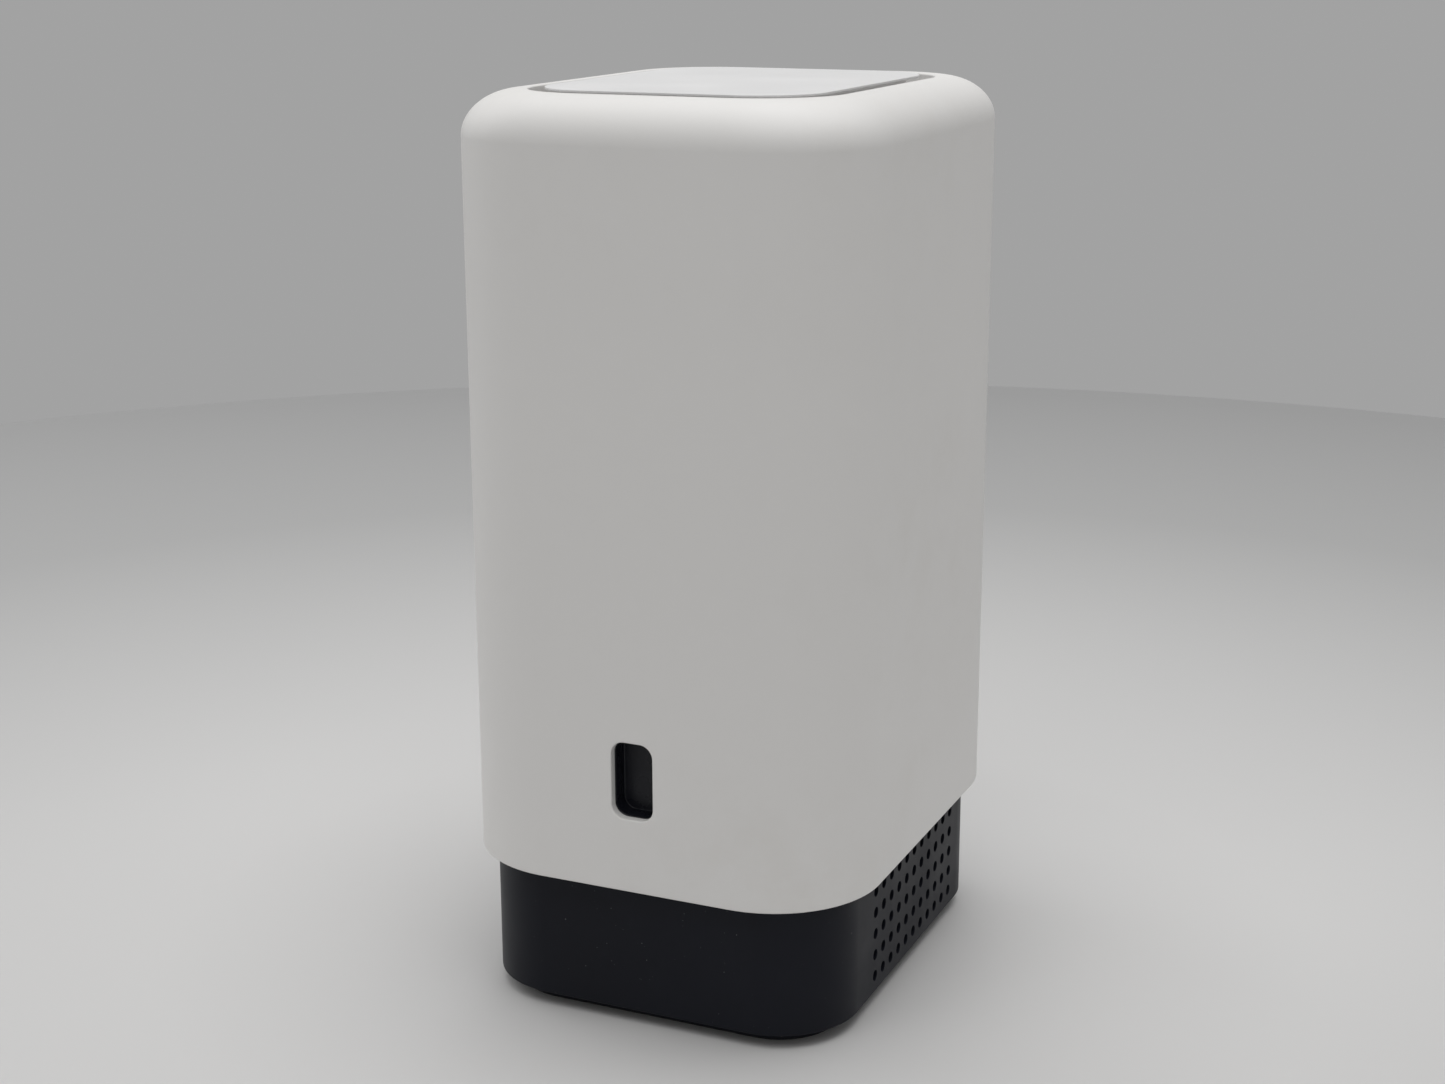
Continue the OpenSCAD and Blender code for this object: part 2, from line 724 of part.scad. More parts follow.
module thermal_pads() {
    color([0.55, 0.62, 0.7]) {
        for (c = [[soc_at, [soc_size, soc_size]], [can_upper_at, can_size], [can_lower_at, can_size]])
            block([chip_x, c[0][0] - c[1][0] / 2 + 1, c[0][1] - c[1][1] / 2 + 1],
                [sink_x, c[0][0] + c[1][0] / 2 - 1, c[0][1] + c[1][1] / 2 - 1]);
        block([board_x - pad_thickness, soc_at[0] - 18, soc_at[1] - 36],
            [board_x, soc_at[0] + 18, soc_at[1] + 36]);
    }
}

module magnetics() {
    color([0.13, 0.13, 0.14]) {
        for (i = [0:3]) chip([33, lan_z + i * port_pitch], [9, port_width - 3.4], 5.5);
        chip([33, wan_z - 4], [9, port_width - 3.4], 5.5);
    }
}

module capacitors() {
    color([0.35, 0.38, 0.55]) for (i = [0:2], j = [0:1])
        translate([face_x, -6 + 12 * i, board_bottom + 10 + 13 * j])
            rotate([0, 90, 0]) cylinder(r = 4, h = 12);
}

module inductors() {
    color([0.3, 0.3, 0.31]) for (i = [0:2]) {
        translate([face_x, -20, board_bottom + 8 + 9 * i]) rotate([0, 90, 0]) cylinder(r = 3.2, h = 4.6);
        chip([-20, board_bottom + 8 + 9 * i], [7.6, 7.6], 2);
    }
}

module coax_plugs() {
    color(gold) for (y = plug_y) block([face_x, y - 1.3, plug_z[0]], [face_x + 1.9, y + 1.3, plug_z[1]]);
}

// Heatsink by its base plate and fins. dir = 1 grows to the right, -1 to the left.
module heatsink(x, dir, ys, zs, reach, hole_r) {
    middle = (ys[0] + ys[1]) / 2;
    count = floor((ys[1] - ys[0] - fin_t) / fin_pitch / 2);
    difference() {
        translate([x, 0, 0]) facing(dir) {
            block([0, ys[0], zs[0]], [sink_t, ys[1], zs[1]]);
            for (i = [-count:count])
                block([sink_t - 1, middle + i * fin_pitch - fin_t / 2, zs[0]],
                    [sink_t + reach, middle + i * fin_pitch + fin_t / 2, zs[1]]);
        }
        for (p = sink_screws) translate([x, p[0], p[1]]) facing(dir) {
            translate([-1, 0, 0]) rotate([0, 90, 0]) cylinder(r = hole_r, h = sink_t + 2);
            translate([sink_t, 0, 0]) rotate([0, 90, 0]) cylinder(r = 4.4, h = reach + 1);
        }
    }
}

// Right-facing as drawn, or mirrored to face left
module facing(dir) if (dir > 0) children(); else mirror([1, 0, 0]) children();

module heatsink_right()
    color([0.3, 0.31, 0.33]) heatsink(sink_x, 1, sink_y, sink_z, fin_reach_right, 1.6);

module heatsink_left()
    color([0.3, 0.31, 0.33])
        heatsink(board_x - pad_thickness, -1, left_y, left_z, fin_reach_left, pilot_r);

module heatsink_screws() {
    seat = sink_x + sink_t + spring_length;
    color(steel) for (p = sink_screws) translate([seat, p[0], p[1]]) rotate([0, -90, 0])
        screw(seat - board_x + pad_thickness + sink_t - 0.5);
}

// One helix swept as a tube: r is the coil's radius, w the wire's
module helix(r, w, length, turns) {
    sides = 6;
    rings = turns * 10;
    points = [for (i = [0:rings], k = [0:sides - 1])
        let (a = 36 * i, t = 360 * k / sides, q = r + w * cos(t))
            [q * cos(a), q * sin(a), w + (length - 2 * w) * i / rings + w * sin(t)]];
    faces = concat([[for (k = [0:sides - 1]) k]],
        [[for (k = [sides - 1:-1:0]) rings * sides + k]],
        [for (i = [0:rings - 1], k = [0:sides - 1]) let (n = (k + 1) % sides)
            [i * sides + k, (i + 1) * sides + k, (i + 1) * sides + n, i * sides + n]]);
    polyhedron(points, faces);
}

module heatsink_springs() {
    color(steel) for (p = sink_screws) translate([sink_x + sink_t, p[0], p[1]])
        rotate([0, 90, 0]) helix(spring_r, spring_wire, spring_length, 4);
}

// ---- Ports ----

// Network port: the socket's mouth faces the rear, its latch is on the board's side
module network_port(z) {
    main_x = port_x - socket[0] / 2 + socket_shift;
    color(steel) difference() {
        block([face_x, port_mouth - port_depth, z - port_width / 2],
            [face_x + port_height, port_mouth, z + port_width / 2]);
        block([main_x, port_mouth - socket[2], z - socket[1] / 2],
            [main_x + socket[0], port_mouth + 1, z + socket[1] / 2]);
        block([main_x - latch[0], port_mouth - socket[2], z - latch[1] / 2],
            [main_x + 1, port_mouth + 1, z + latch[1] / 2]);
        block([main_x - latch[0] - latch_tip[0], port_mouth - socket[2], z - latch_tip[1] / 2],
            [main_x, port_mouth + 1, z + latch_tip[1] / 2]);
    }
}

module wan_port() network_port(wan_z);
module lan_port(i) network_port(lan_z + (i - 1) * port_pitch);

module phone_port() {
    low_x = face_x + (phone_body[0] - phone_socket[0]) / 2 + phone_shift;
    color([0.12, 0.12, 0.13]) difference() {
        block([face_x, port_mouth - phone_body[2], phone_z - phone_body[1] / 2],
            [face_x + phone_body[0], port_mouth, phone_z + phone_body[1] / 2]);
        block([low_x, port_mouth - phone_socket[2], phone_z - phone_socket[1] / 2],
            [low_x + phone_socket[0], port_mouth + 1, phone_z + phone_socket[1] / 2]);
        block([low_x - phone_latch[0], port_mouth - phone_socket[2], phone_z - phone_latch[1] / 2],
            [low_x + 1, port_mouth + 1, phone_z + phone_latch[1] / 2]);
    }
}

// Spring contacts: wires that lean from the socket's far wall towards its mouth
module contact_row(top_x, z, count, depth) {
    w = contact_wire;
    for (k = [0:count - 1])
        translate([0, 0, z + (k - (count - 1) / 2) * contact_pitch - w / 2]) linear_extrude(w)
            polygon([[top_x, port_mouth - 4], [top_x - w, port_mouth - 4.6],
                [top_x - 2.4, port_mouth - depth + 0.2], [top_x - 2.4 + w, port_mouth - depth + 0.2],
                [top_x, port_mouth - 5]]);
}

module port_contacts() {
    socket_top = port_x + socket[0] / 2 + socket_shift;
    phone_top = face_x + (phone_body[0] + phone_socket[0]) / 2 + phone_shift;
    color(gold) {
        for (i = [0:3]) contact_row(socket_top, lan_z + i * port_pitch, 8, socket[2]);
        contact_row(socket_top, wan_z, 8, socket[2]);
        contact_row(phone_top, phone_z, 4, phone_socket[2]);
    }
}

module dc_inlet() {
    mid = face_x + dc_body[0] / 2;
    color([0.1, 0.1, 0.11]) {
        difference() {
            block([face_x, port_mouth - dc_body[2], dc_z - dc_body[1] / 2],
                [face_x + dc_body[0], port_mouth, dc_z + dc_body[1] / 2]);
            translate([mid, port_mouth - dc_depth, dc_z])
                rotate([-90, 0, 0]) cylinder(r = dc_bore_r, h = dc_depth + 1);
        }
        translate([mid, port_mouth - dc_depth - 1, dc_z])
            rotate([-90, 0, 0]) cylinder(r = dc_pin_r, h = dc_depth);
    }
}

// ---- Buttons and their switches ----

module power_switch() {
    hole = power_stem / 2 + plunger_clearance;
    color([0.12, 0.12, 0.13]) difference() {
        block([face_x, power_body_y[0], power_z - power_body / 2],
            [face_x + power_body, power_body_y[1], power_z + power_body / 2]);
        block([power_x - hole, power_body_y[1] - power_hole_depth, power_z - hole],
            [power_x + hole, power_body_y[1] + 1, power_z + hole]);
    }
}

module power_button() {
    stop_y = panel_inner_y - stop_gap;
    color([0.1, 0.1, 0.11]) {
        upright_slab(power_cap[0] / 2, power_cap[1] / 2, 1, port_x, power_z,
            stop_y - stop_t / 2, cap_rear);
        upright_slab(power_cap[0] / 2 + 1, power_cap[1] / 2 + 1, 1, port_x, power_z,
            stop_y - stop_t, stop_y);
    }
}

module power_plunger() {
    color([0.8, 0.8, 0.78]) block(
        [power_x - power_stem / 2, power_body_y[1] - power_hole_depth + power_travel + 0.5,
            power_z - power_stem / 2],
        [power_x + power_stem / 2, panel_inner_y - stop_gap - stop_t, power_z + power_stem / 2]);
}

// Small tact switch with a round hole for its plunger
module tact(ys, z) {
    color([0.12, 0.12, 0.13]) difference() {
        block([face_x, ys[0], z - tact_size / 2],
            [face_x + tact_size + 0.8, ys[1], z + tact_size / 2]);
        translate([tact_x, ys[1] - tact_hole_depth, z]) rotate([-90, 0, 0])
            cylinder(r = tact_plunger_r + plunger_clearance, h = 4);
    }
}

module wps_switch() tact(wps_body_y, wps_z);

module wps_button() {
    stop_y = panel_inner_y - stop_gap;
    color([0.85, 0.85, 0.84]) {
        translate([port_x, stop_y - stop_t / 2, wps_z]) rotate([-90, 0, 0])
            cylinder(r = wps_cap_r, h = cap_rear - stop_y + stop_t / 2);
        translate([port_x, stop_y - stop_t, wps_z]) rotate([-90, 0, 0])
            cylinder(r = wps_cap_r + 1, h = stop_t);
    }
}

module wps_plunger() {
    y0 = wps_body_y[1] - tact_hole_depth + wps_travel + 0.4;
    color([0.2, 0.2, 0.2]) translate([tact_x, y0, wps_z]) rotate([-90, 0, 0])
        cylinder(r = tact_plunger_r, h = panel_inner_y - stop_gap - stop_t - y0);
}

module reset_switch() tact(reset_body_y, reset_z);

module reset_button() {
    y0 = reset_body_y[1] - tact_hole_depth + reset_travel + 0.4;
    color([0.7, 0.15, 0.12]) translate([tact_x, y0, reset_z]) rotate([-90, 0, 0])
        cylinder(r = tact_plunger_r, h = panel_inner_y - 0.8 - y0);
}

// ---- Antennas and leads ----

module antenna(i) {
    a = antennas[i - 1];
    color(gold) translate([a[0], a[1], 0]) rotate(a[2])
        translate([-antenna_w / 2, -antenna_t, antenna_z[0]])
            cube([antenna_w, antenna_t, antenna_z[1] - antenna_z[0]]);
}

// A tube swept along points, each ring square to the run through it
function unit(v) = v / norm(v);
module tube(path, r, sides = 8) {
    last = len(path) - 1;
    rings = [for (i = [0:last])
        let (d = unit(path[min(i + 1, last)] - path[max(i - 1, 0)]),
            side = unit(cross(abs(d[2]) > 0.9 ? [1, 0.2, 0] : [0, 0, 1], d)),
            up = cross(d, side))
        [for (k = [0:sides - 1]) path[i] + r * (side * cos(360 * k / sides) + up * sin(360 * k / sides))]];
    points = [for (ring = rings, p = ring) p];
    faces = concat([[for (k = [sides - 1:-1:0]) k]], [[for (k = [0:sides - 1]) last * sides + k]],
        [for (i = [0:last - 1], k = [0:sides - 1]) let (n = (k + 1) % sides)
            [i * sides + k, i * sides + n, (i + 1) * sides + n, (i + 1) * sides + k]]);
    polyhedron(points, faces);
}

// A smooth curve through four control points
function bezier(p, t) = pow(1 - t, 3) * p[0] + 3 * t * pow(1 - t, 2) * p[1]
    + 3 * t * t * (1 - t) * p[2] + pow(t, 3) * p[3];

// A lead leaves its antenna inwards, rises inside the cage and drops onto its plug
module coax_leads() {
    over = board_top + 5;
    color([0.15, 0.15, 0.16]) for (i = [0:5]) {
        a = antennas[i];
        inward = [-sin(a[2]), cos(a[2]), 0];
        y_end = plug_y[lead_order[i]];
        start = [a[0], a[1], antenna_z[1] - 8] + inward * (cage_t + 0.3);
        rise = start + inward * 7 + [0, 0, 14];
        edge = [start[0] + inward[0] * 7, start[1] + inward[1] * 7, over - 10];
        above = [plug_x, y_end, board_top + 1.5];
        end = [plug_x, y_end, plug_z[1]];
        tube(concat(
            [for (t = [0:5]) bezier([start, start + inward * 5, rise - [0, 0, 9], rise], t / 6)],
            [for (t = [0:5]) bezier([rise, rise + [0, 0, 8], edge - [0, 0, 8], edge], t / 6)],
            [for (t = [0:12]) bezier([edge, edge + [0, 0, 14], above + [0, 0, 12], above], t / 12)],
            [end]), coax_r);
    }
}

// ---- Fasteners ----

// The larger screws: bottom plate to base, bottom plate to carrier and ballast, base to sleeve
module case_screws() {
    color(steel) {
        at_corners(base_boss) translate([0, 0, screw_seat]) screw(12);
        at_corners(bar_screw) translate([0, 0, screw_seat]) screw(9);
        for (s = [-1, 1]) translate([s * ballast_screw, 0, screw_seat]) screw(6.5);
        at_corners(sleeve_boss) translate([0, 0, base_top - deck_t]) screw(sleeve_boss_h - 1);
    }
}

// Screws that hold the board, the antenna frame and the rear panel
module core_screws() {
    color(steel) {
        for (p = board_screws) translate([face_x, p[0], p[1]]) rotate([0, -90, 0])
            screw(board_thickness + 5);
        for (z = belt_middles)
            translate([carrier_x, carrier_front - ear_reach / 2, z]) rotate([0, 90, 0])
                screw(carrier_t + tab_t - 0.5);
        for (s = [-1, 1], z = panel_screws)
            translate([s * (panel_w - flange_t), panel_screw_y, z]) rotate([0, s * 90, 0]) screw(6);
    }
}

// Screws that hold the lid plate and the vent frame, from below
module trim_screws() {
    color(steel) {
        at_corners(lid_boss) translate([0, 0, frame_bottom]) screw(vent_frame_t + bite);
        at_corners(vent_boss) translate([0, 0, frame_bottom]) screw(vent_frame_t + bite - 0.5);
    }
}

outer_sleeve();
top_plate();
top_vent_frame();
status_window();
window_light_guide();
status_led_board();
led_ribbon();
base_housing();
bottom_plate();
foot_ring();
ballast_plate();
board_carrier();
antenna_frame();
rear_panel();
main_board();
soc_chip();
memory_chips();
flash_chip();
switch_chip();
shield_can_upper();
shield_can_lower();
thermal_pads();
magnetics();
capacitors();
inductors();
coax_plugs();
heatsink_right();
heatsink_left();
heatsink_screws();
heatsink_springs();
wan_port();
for (i = [1:4]) lan_port(i);
phone_port();
port_contacts();
dc_inlet();
power_switch();
power_button();
power_plunger();
wps_switch();
wps_button();
wps_plunger();
reset_switch();
reset_button();
for (i = [1:6]) antenna(i);
coax_leads();
case_screws();
core_screws();
trim_screws();
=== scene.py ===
"""Looks for the tower wireless router: a white sleeve over a black vented base.

Everything is in metres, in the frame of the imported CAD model: z is up, the front faces -Y,
the rear panel +Y. Places come from the CAD boxes; sizes that a box can't give are named here.
"""

import json
import math

import bmesh
import bpy
from mathutils import Matrix, Vector


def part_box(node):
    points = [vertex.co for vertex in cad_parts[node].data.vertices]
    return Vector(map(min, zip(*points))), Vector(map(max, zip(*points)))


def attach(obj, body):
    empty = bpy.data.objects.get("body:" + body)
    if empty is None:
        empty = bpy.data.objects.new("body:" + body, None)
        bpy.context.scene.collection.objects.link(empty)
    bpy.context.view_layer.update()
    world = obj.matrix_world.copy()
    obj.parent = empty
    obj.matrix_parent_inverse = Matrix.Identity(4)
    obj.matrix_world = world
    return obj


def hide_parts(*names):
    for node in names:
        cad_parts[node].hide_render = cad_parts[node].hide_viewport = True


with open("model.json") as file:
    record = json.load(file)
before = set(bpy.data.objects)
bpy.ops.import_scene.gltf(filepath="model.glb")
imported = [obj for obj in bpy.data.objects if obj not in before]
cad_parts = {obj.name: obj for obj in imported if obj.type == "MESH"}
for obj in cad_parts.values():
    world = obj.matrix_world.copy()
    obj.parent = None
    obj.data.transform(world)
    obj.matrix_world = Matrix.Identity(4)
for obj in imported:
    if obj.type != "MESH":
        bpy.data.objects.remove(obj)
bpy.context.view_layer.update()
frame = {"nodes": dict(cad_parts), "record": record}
MM = 0.001

# ---- Sizes that the CAD boxes don't give ----
WALL = 2.5 * MM
SLEEVE_CORNER = 29.2 * MM
EDGE_REACH = 13.1 * MM
EDGE_DROP = 11.2 * MM
CROWN_CORNER = 18.8 * MM
WELL_INSET = 14.4 * MM
WELL_CORNER = 21.4 * MM
LID_CORNER = 17.3 * MM
LID_THICKNESS = 3 * MM
LID_RIM = 0.6 * MM
LID_STEP = 3.5 * MM
LID_POST = (9 * MM, 10.5 * MM)
POST_RADIUS = 3.6 * MM
WINDOW = (11.4 * MM, 20.3 * MM)
WINDOW_CORNER = 3.5 * MM
WINDOW_Z = 69.2 * MM
CUP_WALL = 1.2 * MM
FLANGE_REACH = 3.3 * MM
FLANGE_CORNER = 4 * MM
PEG_REACH = 2.7 * MM
PEG_RADIUS = 1.2 * MM
BASE_CORNER = 22 * MM
DECK_INSET = (10.75 * MM, 9.75 * MM)
VENT_PITCH = 6 * MM
VENT_RADIUS = 1.5 * MM
VENT_COLUMNS = 11
VENT_ROWS = 5
VENT_SHIFT = 3.15 * MM
VENT_RISE = 4.8 * MM
PANEL_WIDTH = 40 * MM
PANEL_LAP = 3 * MM
PANEL_CORNER = 5 * MM
SOCKET = (6.9 * MM, 11.8 * MM, 14 * MM)
LATCH = (1.9 * MM, 6.2 * MM)
LATCH_TIP = (1.4 * MM, 3.2 * MM)
SOCKET_SHIFT = 1.4 * MM
DC_BORE, DC_PIN, DC_DEPTH = 3.15 * MM, 1.05 * MM, 9.5 * MM

# ---- Camera ----
CAMERA_AT = (0.2368, -0.5424, 0.27605)
CAMERA_AZIMUTH = math.radians(24.009)
CAMERA_ELEVATION = math.radians(15.257)
CAMERA_ROLL = math.radians(-0.1655)
CAMERA_LENS = 56.59


def add_camera():
    data = bpy.data.cameras.new("camera")
    data.lens = CAMERA_LENS
    data.sensor_width = 36
    data.clip_start = 0.01
    camera = bpy.data.objects.new("camera", data)
    bpy.context.scene.collection.objects.link(camera)
    az, el = CAMERA_AZIMUTH, CAMERA_ELEVATION
    back = Vector((math.sin(az) * math.cos(el), -math.cos(az) * math.cos(el), math.sin(el)))
    right = Vector((0, 0, 1)).cross(back).normalized()
    up = back.cross(right)
    c, s = math.cos(CAMERA_ROLL), math.sin(CAMERA_ROLL)
    right, up = right * c + up * s, up * c - right * s
    turn = Matrix((right, up, back)).transposed()
    camera.matrix_world = Matrix.Translation(CAMERA_AT) @ turn.to_4x4()
    bpy.context.scene.camera = camera


add_camera()


# ---- Materials ----
class Shader:
    """A Principled material with short ways to add noise to it."""

    def __init__(self, name, color, roughness, metallic=0.0):
        self.material = bpy.data.materials.new(name)
        self.material.use_nodes = True
        self.nodes = self.material.node_tree.nodes
        self.links = self.material.node_tree.links
        self.bsdf = self.nodes["Principled BSDF"]
        self.bsdf.inputs["Base Color"].default_value = (*color, 1)
        self.bsdf.inputs["Roughness"].default_value = roughness
        self.bsdf.inputs["Metallic"].default_value = metallic
        self.color = color
        self.place = self.nodes.new("ShaderNodeTexCoord").outputs["Object"]

    def set(self, **values):
        for key, value in values.items():
            self.bsdf.inputs[key.replace("_", " ")].default_value = value
        return self

    def mapped(self, scale):
        mapping = self.nodes.new("ShaderNodeMapping")
        mapping.inputs["Scale"].default_value = scale
        self.links.new(self.place, mapping.inputs["Vector"])
        return mapping.outputs["Vector"]

    def noise(self, scale, detail=3.0, roughness=0.5, stretch=None):
        node = self.nodes.new("ShaderNodeTexNoise")
        node.inputs["Scale"].default_value = scale
        node.inputs["Detail"].default_value = detail
        node.inputs["Roughness"].default_value = roughness
        self.links.new(self.mapped(stretch) if stretch else self.place, node.inputs["Vector"])
        return node.outputs["Fac"]

    def spread(self, value, low, high, start=0.0, end=1.0):
        """A 0 to 1 value between low and high, moved to the range start to end."""
        node = self.nodes.new("ShaderNodeMapRange")
        node.inputs["From Min"].default_value = low
        node.inputs["From Max"].default_value = high
        node.inputs["To Min"].default_value = start
        node.inputs["To Max"].default_value = end
        self.links.new(value, node.inputs["Value"])
        return node.outputs["Result"]

    def blend(self, factor, first, second):
        """A colour between first and second; each is a colour or a node's output."""
        node = self.nodes.new("ShaderNodeMix")
        node.data_type = "RGBA"
        self.links.new(factor, node.inputs["Factor"])
        for socket, value in ((node.inputs[6], first), (node.inputs[7], second)):
            if isinstance(value, tuple):
                socket.default_value = (*value, 1)
            else:
                self.links.new(value, socket)
        return node.outputs[2]

    def paint(self, value):
        self.links.new(value, self.bsdf.inputs["Base Color"])
        return self

    def gloss(self, value):
        self.links.new(value, self.bsdf.inputs["Roughness"])
        return self

    def bump(self, value, strength, distance):
        node = self.nodes.new("ShaderNodeBump")
        node.inputs["Strength"].default_value = strength
        node.inputs["Distance"].default_value = distance
        self.links.new(value, node.inputs["Height"])
        self.links.new(node.outputs["Normal"], self.bsdf.inputs["Normal"])
        return self


def shade(color, factor):
    return tuple(min(1.0, c * factor) for c in color)


def moulded(name, color, roughness, grain=0.35 * MM, depth=0.01 * MM, mottle=0.03, strength=0.35):
    """Spark-textured moulding: fine grain, faint unevenness of colour and gloss."""
    s = Shader(name, color, roughness)
    cloud = s.noise(22, 4, 0.55)
    s.paint(s.blend(s.spread(cloud, 0.3, 0.7), shade(color, 1 - mottle), shade(color, 1 + mottle)))
    s.gloss(s.spread(s.noise(45, 3), 0.3, 0.7, roughness - 0.04, roughness + 0.04))
    s.bump(s.noise(1 / grain, 2), strength, depth)
    return s


def sleeve_white():
    """Warm white moulding with faint handling smudges that come and go over the faces."""
    white, smudge = (0.80, 0.789, 0.773), (0.755, 0.738, 0.71)
    s = Shader("sleeve_white", white, 0.5)
    broad = s.spread(s.noise(9, 2, 0.5), 0.45, 0.75)
    fine = s.spread(s.noise(60, 5, 0.65), 0.42, 0.72)
    patch = s.nodes.new("ShaderNodeMath")
    patch.operation = "MULTIPLY"
    s.links.new(broad, patch.inputs[0])
    s.links.new(fine, patch.inputs[1])
    s.paint(s.blend(patch.outputs[0], white, smudge))
    s.gloss(s.spread(s.noise(30, 4), 0.3, 0.7, 0.46, 0.56))
    s.bump(s.noise(2200, 2), 0.25, 0.012 * MM)
    return s.material


def lid_white():
    """Smoother and cooler than the sleeve."""
    s = moulded("lid_white", (0.815, 0.812, 0.812), 0.36, grain=0.5 * MM, depth=0.006 * MM,
                mottle=0.012)
    return s.material


def base_black():
    """Satin blue-black moulding with a few specks of dust."""
    black, dust = (0.0075, 0.0085, 0.0132), (0.13, 0.13, 0.13)
    s = Shader("base_black", black, 0.42)
    s.set(Specular_IOR_Level=0.15)
    cloud = s.spread(s.noise(18, 3), 0.3, 0.7)
    body = s.blend(cloud, shade(black, 0.85), shade(black, 1.2))
    specks = s.spread(s.noise(1500, 1, 0.4), 0.80, 0.83)
    s.paint(s.blend(specks, body, dust))
    s.gloss(s.spread(s.noise(40, 4), 0.3, 0.7, 0.38, 0.50))
    s.bump(s.noise(2600, 2), 0.3, 0.012 * MM)
    return s.material


def gloss_black():
    black = (0.0085, 0.0092, 0.0138)
    s = Shader("window_black", black, 0.3)
    s.set(Specular_IOR_Level=0.26)
    s.paint(s.blend(s.spread(s.noise(60, 3), 0.3, 0.7), shade(black, 0.85), shade(black, 1.2)))
    s.gloss(s.spread(s.noise(120, 4), 0.35, 0.7, 0.24, 0.36))
    return s.material


def brushed(name, color, roughness, stretch=(40, 1, 1)):
    s = Shader(name, color, roughness, 1.0)
    streak = s.noise(300, 3, 0.6, stretch)
    s.gloss(s.spread(streak, 0.3, 0.7, roughness - 0.07, roughness + 0.09))
    s.paint(s.blend(s.spread(streak, 0.3, 0.7), shade(color, 0.92), shade(color, 1.05)))
    s.bump(streak, 0.1, 0.01 * MM)
    return s


def board_green():
    """Solder mask over a fine run of tracks."""
    mask, track = (0.012, 0.12, 0.045), (0.03, 0.21, 0.08)
    s = Shader("board_green", mask, 0.35)
    cells = s.nodes.new("ShaderNodeTexVoronoi")
    cells.feature = "DISTANCE_TO_EDGE"
    cells.inputs["Scale"].default_value = 420
    s.links.new(s.place, cells.inputs["Vector"])
    lines = s.spread(cells.outputs["Distance"], 0.03, 0.08, 1.0, 0.0)
    s.paint(s.blend(lines, mask, track))
    s.bump(lines, 0.2, 0.02 * MM)
    return s.material


def clear_guide():
    s = Shader("light_guide", (0.9, 0.93, 0.95), 0.25)
    s.set(Transmission_Weight=0.8, IOR=1.49)
    s.gloss(s.spread(s.noise(200, 3), 0.3, 0.7, 0.2, 0.35))
    return s.material


MATERIALS = {
    "sleeve_white": sleeve_white(),
    "lid_white": lid_white(),
    "window_black": gloss_black(),
    "light_guide": clear_guide(),
    "port_light": moulded("port_light", (0.36, 0.40, 0.34), 0.28, mottle=0.05).material,
    "board_green": board_green(),
    "ribbon": moulded("ribbon", (0.72, 0.69, 0.6), 0.4).material,
    "base_black": base_black(),
    "foot_rubber": moulded("foot_rubber", (0.012, 0.012, 0.013), 0.8, mottle=0.15).material,
    "steel": brushed("steel", (0.55, 0.55, 0.56), 0.32).material,
    "carrier_grey": moulded("carrier_grey", (0.07, 0.07, 0.075), 0.55).material,
    "panel_black": moulded("panel_black", (0.016, 0.017, 0.019), 0.5, depth=0.02 * MM).material,
    "chip_black": moulded("chip_black", (0.02, 0.02, 0.021), 0.6).material,
    "tin": brushed("tin", (0.70, 0.71, 0.72), 0.28, (1, 1, 30)).material,
    "thermal_pad": moulded("thermal_pad", (0.3, 0.4, 0.5), 0.7, depth=0.03 * MM).material,
    "capacitor_sleeve": moulded("capacitor_sleeve", (0.03, 0.04, 0.12), 0.25).material,
    "contact_gold": brushed("contact_gold", (0.83, 0.62, 0.25), 0.22).material,
    "heatsink": brushed("heatsink", (0.42, 0.43, 0.45), 0.42, (1, 1, 20)).material,
    "port_black": moulded("port_black", (0.02, 0.02, 0.022), 0.45).material,
    "button_black": moulded("button_black", (0.03, 0.031, 0.034), 0.38).material,
    "plunger_white": moulded("plunger_white", (0.7, 0.7, 0.66), 0.4).material,
    "button_grey": moulded("button_grey", (0.42, 0.43, 0.45), 0.42).material,
    "reset_red": moulded("reset_red", (0.4, 0.04, 0.03), 0.4).material,
    "antenna_board": moulded("antenna_board", (0.45, 0.32, 0.1), 0.35).material,
    "coax_black": moulded("coax_black", (0.02, 0.02, 0.022), 0.4).material,
}


# ---- Mesh helpers ----
SHARP_ANGLE = math.radians(35)


def rounded_ring(half_x, half_y, radius, steps):
    """Points round a rounded rectangle, anticlockwise from the right-hand side."""
    points = []
    for k, (sx, sy) in enumerate(((1, 1), (-1, 1), (-1, -1), (1, -1))):
        cx, cy = sx * (half_x - radius), sy * (half_y - radius)
        for i in range(steps + 1):
            a = math.radians(90 * (k + i / steps))
            points.append((cx + radius * math.cos(a), cy + radius * math.sin(a)))
    return points


def make_object(name, bm, material, body="hub", bevel=None):
    """Turns a bmesh into a smooth-shaded object that rides on a body."""
    bmesh.ops.recalc_face_normals(bm, faces=bm.faces)
    mesh = bpy.data.meshes.new(name)
    bm.to_mesh(mesh)
    bm.free()
    obj = bpy.data.objects.new(name, mesh)
    bpy.context.scene.collection.objects.link(obj)
    mesh.materials.append(material)
    smooth(obj)
    if bevel:
        add_bevel(obj, bevel)
    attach(obj, body)
    return obj


def smooth(obj):
    """Smooth shading, with sharp edges where faces meet at more than SHARP_ANGLE."""
    obj.data.polygons.foreach_set("use_smooth", [True] * len(obj.data.polygons))
    obj.data.set_sharp_from_angle(angle=SHARP_ANGLE)


def add_bevel(obj, width, segments=3, angle=40):
    """Small radius on every hard edge, with normals that keep flat faces flat."""
    bevel = obj.modifiers.new("edge", "BEVEL")
    bevel.width = width
    bevel.segments = segments
    bevel.limit_method = "ANGLE"
    bevel.angle_limit = math.radians(angle)
    bevel.use_clamp_overlap = True
    bevel.miter_outer = "MITER_ARC"
    bevel.harden_normals = False
    weighted = obj.modifiers.new("normals", "WEIGHTED_NORMAL")
    weighted.keep_sharp = True
    weighted.weight = 50


